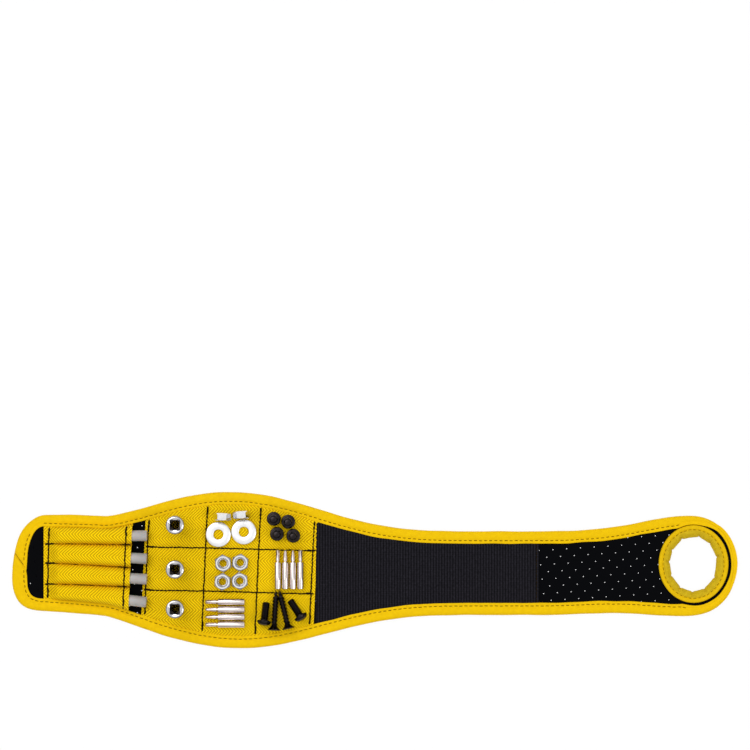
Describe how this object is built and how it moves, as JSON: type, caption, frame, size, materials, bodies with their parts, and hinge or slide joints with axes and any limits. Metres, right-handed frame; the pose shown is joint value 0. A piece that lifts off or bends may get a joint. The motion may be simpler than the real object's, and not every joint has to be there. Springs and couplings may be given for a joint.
{
  "type": "magnetic wristband",
  "caption": "Flat wrist strap with a thumb loop, a quilted panel of magnets, stick pockets and a hook and loop closure, carrying small hardware on the magnets.",
  "frame": {"origin": "middle of the length and width of the band as it lies flat, on the surface under it", "axes": "+X along the band to the thumb loop, +Y across it, +Z out of its front"},
  "size_m": [0.4708, 0.1015, 0.0313],
  "materials": {
    "neoprene": "perforated stretch foam with a knitted face",
    "binding": "woven bias tape",
    "canvas": "coarse woven polyester, quilted",
    "tape": "brushed loop and hook tape",
    "magnet": "nickel plated disc magnet",
    "stick": "translucent white",
    "chrome": "polished chrome plate",
    "zinc": "bright zinc plate",
    "bit_steel": "satin nickel plate",
    "black_steel": "black oxide, satin"
  },
  "bodies": {
    "pocket_end": {"base_pocket_end": "neoprene", "pocket_panel": "canvas", "hook_tape": "tape"},
    "cells_left": {"base_cells_left": "neoprene", "canvas_left": "canvas", "magnet_1_1": "magnet", "magnet_1_2": "magnet", "magnet_1_3": "magnet"},
    "cells_middle": {"base_cells_middle": "neoprene", "canvas_middle": "canvas", "magnet_2_1": "magnet", "magnet_2_2": "magnet", "magnet_2_3": "magnet", "edge_binding": "binding"},
    "cells_right": {"base_cells_right": "neoprene", "canvas_right": "canvas", "magnet_3_1": "magnet", "magnet_3_2": "magnet", "magnet_3_3": "magnet"},
    "strap_1": {"base_strap_1": "neoprene", "loop_tape_1": "tape"},
    "strap_2": {"base_strap_2": "neoprene", "loop_tape_2": "tape"},
    "strap_3": {"base_strap_3": "neoprene", "loop_tape_3": "tape"},
    "strap_4": {"base_strap_4": "neoprene"},
    "strap_5": {"base_strap_5": "neoprene"},
    "thumb_end": {"base_thumb_end": "neoprene", "thumb_ring": "binding"},
    "stick_1_body": {"stick_1": "stick"},
    "stick_2_body": {"stick_2": "stick"},
    "stick_3_body": {"stick_3": "stick"},
    "stick_4_body": {"stick_4": "stick"},
    "socket_1_body": {"socket_1": "chrome"},
    "socket_2_body": {"socket_2": "chrome"},
    "socket_3_body": {"socket_3": "chrome"},
    "washer_1_body": {"washer_1": "zinc"},
    "washer_2_body": {"washer_2": "zinc"},
    "nut_edge_1_body": {"nut_edge_1": "zinc"},
    "nut_edge_2_body": {"nut_edge_2": "zinc"},
    "nut_flat_1_body": {"nut_flat_1": "zinc"},
    "nut_flat_2_body": {"nut_flat_2": "zinc"},
    "nut_flat_3_body": {"nut_flat_3": "zinc"},
    "nut_flat_4_body": {"nut_flat_4": "zinc"},
    "bit_along_1_body": {"bit_along_1": "bit_steel"},
    "bit_along_2_body": {"bit_along_2": "bit_steel"},
    "bit_along_3_body": {"bit_along_3": "bit_steel"},
    "bit_along_4_body": {"bit_along_4": "bit_steel"},
    "bit_across_1_body": {"bit_across_1": "bit_steel"},
    "bit_across_2_body": {"bit_across_2": "bit_steel"},
    "bit_across_3_body": {"bit_across_3": "bit_steel"},
    "bit_across_4_body": {"bit_across_4": "bit_steel"},
    "bolt_standing_1_body": {"bolt_standing_1": "black_steel"},
    "bolt_standing_2_body": {"bolt_standing_2": "black_steel"},
    "bolt_standing_3_body": {"bolt_standing_3": "black_steel"},
    "bolt_standing_4_body": {"bolt_standing_4": "black_steel"},
    "bolt_lying_1_body": {"bolt_lying_1": "black_steel"},
    "bolt_lying_2_body": {"bolt_lying_2": "black_steel"},
    "screw_1_body": {"screw_1": "black_steel"},
    "screw_2_body": {"screw_2": "black_steel"}
  },
  "joints": [
    {"name": "wrap", "type": "hinge", "parent": "cells_middle", "child": "cells_right", "pos_m": [-0.07485, 0, 0], "axis": [0, 1, 0], "range_deg": [0, 40], "deforming": ["edge_binding"]},
    {"name": "closure", "type": "hinge", "parent": "cells_left", "child": "pocket_end", "pos_m": [-0.15155, 0, 0], "axis": [0, -1, 0], "range_deg": [0, 55], "deforming": ["edge_binding"]},
    {"name": "wrap_cells_left", "type": "hinge", "parent": "cells_middle", "child": "cells_left", "pos_m": [-0.10935, 0, 0], "axis": [0, -1, 0], "range_deg": [0, 33], "deforming": ["edge_binding"]},
    {"name": "wrap_strap_1", "type": "hinge", "parent": "cells_right", "child": "strap_1", "pos_m": [-0.03685, 0, 0], "axis": [0, 1, 0], "range_deg": [0, 47], "deforming": ["edge_binding"]},
    {"name": "wrap_strap_2", "type": "hinge", "parent": "strap_1", "child": "strap_2", "pos_m": [0.01168, 0, 0], "axis": [0, 1, 0], "range_deg": [0, 55], "deforming": ["edge_binding"]},
    {"name": "wrap_strap_3", "type": "hinge", "parent": "strap_2", "child": "strap_3", "pos_m": [0.06022, 0, 0], "axis": [0, 1, 0], "range_deg": [0, 57], "deforming": ["edge_binding"]},
    {"name": "wrap_strap_4", "type": "hinge", "parent": "strap_3", "child": "strap_4", "pos_m": [0.10875, 0, 0], "axis": [0, 1, 0], "range_deg": [0, 52], "deforming": ["edge_binding"]},
    {"name": "wrap_strap_5", "type": "hinge", "parent": "strap_4", "child": "strap_5", "pos_m": [0.14515, 0, 0], "axis": [0, 1, 0], "range_deg": [0, 45], "deforming": ["edge_binding"]},
    {"name": "wrap_thumb_end", "type": "hinge", "parent": "strap_5", "child": "thumb_end", "pos_m": [0.18155, 0, 0], "axis": [0, 1, 0], "range_deg": [0, 57], "deforming": ["edge_binding"]},
    {"name": "stick_1_slide", "type": "slide", "parent": "pocket_end", "child": "stick_1_body", "axis": [0.9991, 0.003, 0.042], "range_m": [0, 0.012]},
    {"name": "stick_2_slide", "type": "slide", "parent": "pocket_end", "child": "stick_2_body", "axis": [0.9974, -0.0591, 0.0419], "range_m": [0, 0.012]},
    {"name": "stick_3_slide", "type": "slide", "parent": "pocket_end", "child": "stick_3_body", "axis": [0.9974, -0.0591, 0.0419], "range_m": [0, 0.012]},
    {"name": "stick_4_slide", "type": "slide", "parent": "pocket_end", "child": "stick_4_body", "axis": [0.9918, -0.1206, 0.0417], "range_m": [0, 0.012]},
    {"name": "socket_1_lift", "type": "slide", "parent": "cells_left", "child": "socket_1_body", "axis": [0, 0, 1], "range_m": [0, 0.03]},
    {"name": "socket_2_lift", "type": "slide", "parent": "cells_left", "child": "socket_2_body", "axis": [0, 0, 1], "range_m": [0, 0.03]},
    {"name": "socket_3_lift", "type": "slide", "parent": "cells_left", "child": "socket_3_body", "axis": [0, 0, 1], "range_m": [0, 0.03]},
    {"name": "washer_1_lift", "type": "slide", "parent": "cells_middle", "child": "washer_1_body", "axis": [0, 0, 1], "range_m": [0, 0.03]},
    {"name": "washer_2_lift", "type": "slide", "parent": "cells_middle", "child": "washer_2_body", "axis": [0, 0, 1], "range_m": [0, 0.03]},
    {"name": "nut_edge_1_lift", "type": "slide", "parent": "cells_middle", "child": "nut_edge_1_body", "axis": [0, 0, 1], "range_m": [0, 0.03]},
    {"name": "nut_edge_2_lift", "type": "slide", "parent": "cells_middle", "child": "nut_edge_2_body", "axis": [0, 0, 1], "range_m": [0, 0.03]},
    {"name": "nut_flat_1_lift", "type": "slide", "parent": "cells_middle", "child": "nut_flat_1_body", "axis": [0, 0, 1], "range_m": [0, 0.03]},
    {"name": "nut_flat_2_lift", "type": "slide", "parent": "cells_middle", "child": "nut_flat_2_body", "axis": [0, 0, 1], "range_m": [0, 0.03]},
    {"name": "nut_flat_3_lift", "type": "slide", "parent": "cells_middle", "child": "nut_flat_3_body", "axis": [0, 0, 1], "range_m": [0, 0.03]},
    {"name": "nut_flat_4_lift", "type": "slide", "parent": "cells_middle", "child": "nut_flat_4_body", "axis": [0, 0, 1], "range_m": [0, 0.03]},
    {"name": "bit_along_1_lift", "type": "slide", "parent": "cells_middle", "child": "bit_along_1_body", "axis": [0, 0, 1], "range_m": [0, 0.03]},
    {"name": "bit_along_2_lift", "type": "slide", "parent": "cells_middle", "child": "bit_along_2_body", "axis": [0, 0, 1], "range_m": [0, 0.03]},
    {"name": "bit_along_3_lift", "type": "slide", "parent": "cells_middle", "child": "bit_along_3_body", "axis": [0, 0, 1], "range_m": [0, 0.03]},
    {"name": "bit_along_4_lift", "type": "slide", "parent": "cells_middle", "child": "bit_along_4_body", "axis": [0, 0, 1], "range_m": [0, 0.03]},
    {"name": "bit_across_1_lift", "type": "slide", "parent": "cells_right", "child": "bit_across_1_body", "axis": [0, 0, 1], "range_m": [0, 0.03]},
    {"name": "bit_across_2_lift", "type": "slide", "parent": "cells_right", "child": "bit_across_2_body", "axis": [0, 0, 1], "range_m": [0, 0.03]},
    {"name": "bit_across_3_lift", "type": "slide", "parent": "cells_right", "child": "bit_across_3_body", "axis": [0, 0, 1], "range_m": [0, 0.03]},
    {"name": "bit_across_4_lift", "type": "slide", "parent": "cells_right", "child": "bit_across_4_body", "axis": [0, 0, 1], "range_m": [0, 0.03]},
    {"name": "bolt_standing_1_lift", "type": "slide", "parent": "cells_right", "child": "bolt_standing_1_body", "axis": [0, 0, 1], "range_m": [0, 0.03]},
    {"name": "bolt_standing_2_lift", "type": "slide", "parent": "cells_right", "child": "bolt_standing_2_body", "axis": [0, 0, 1], "range_m": [0, 0.03]},
    {"name": "bolt_standing_3_lift", "type": "slide", "parent": "cells_right", "child": "bolt_standing_3_body", "axis": [0, 0, 1], "range_m": [0, 0.03]},
    {"name": "bolt_standing_4_lift", "type": "slide", "parent": "cells_right", "child": "bolt_standing_4_body", "axis": [0, 0, 1], "range_m": [0, 0.03]},
    {"name": "bolt_lying_1_lift", "type": "slide", "parent": "cells_right", "child": "bolt_lying_1_body", "axis": [0, 0, 1], "range_m": [0, 0.03]},
    {"name": "bolt_lying_2_lift", "type": "slide", "parent": "cells_right", "child": "bolt_lying_2_body", "axis": [0, 0, 1], "range_m": [0, 0.03]},
    {"name": "screw_1_lift", "type": "slide", "parent": "cells_right", "child": "screw_1_body", "axis": [0, 0, 1], "range_m": [0, 0.03]},
    {"name": "screw_2_lift", "type": "slide", "parent": "cells_right", "child": "screw_2_body", "axis": [0, 0, 1], "range_m": [0, 0.03]}
  ],
  "couplings": [
    {"joint": "wrap_cells_left", "follows": "wrap", "ratio": 0.825},
    {"joint": "wrap_strap_1", "follows": "wrap", "ratio": 1.175},
    {"joint": "wrap_strap_2", "follows": "wrap", "ratio": 1.375},
    {"joint": "wrap_strap_3", "follows": "wrap", "ratio": 1.425},
    {"joint": "wrap_strap_4", "follows": "wrap", "ratio": 1.3},
    {"joint": "wrap_strap_5", "follows": "wrap", "ratio": 1.125},
    {"joint": "wrap_thumb_end", "follows": "wrap", "ratio": 1.425}
  ]
}
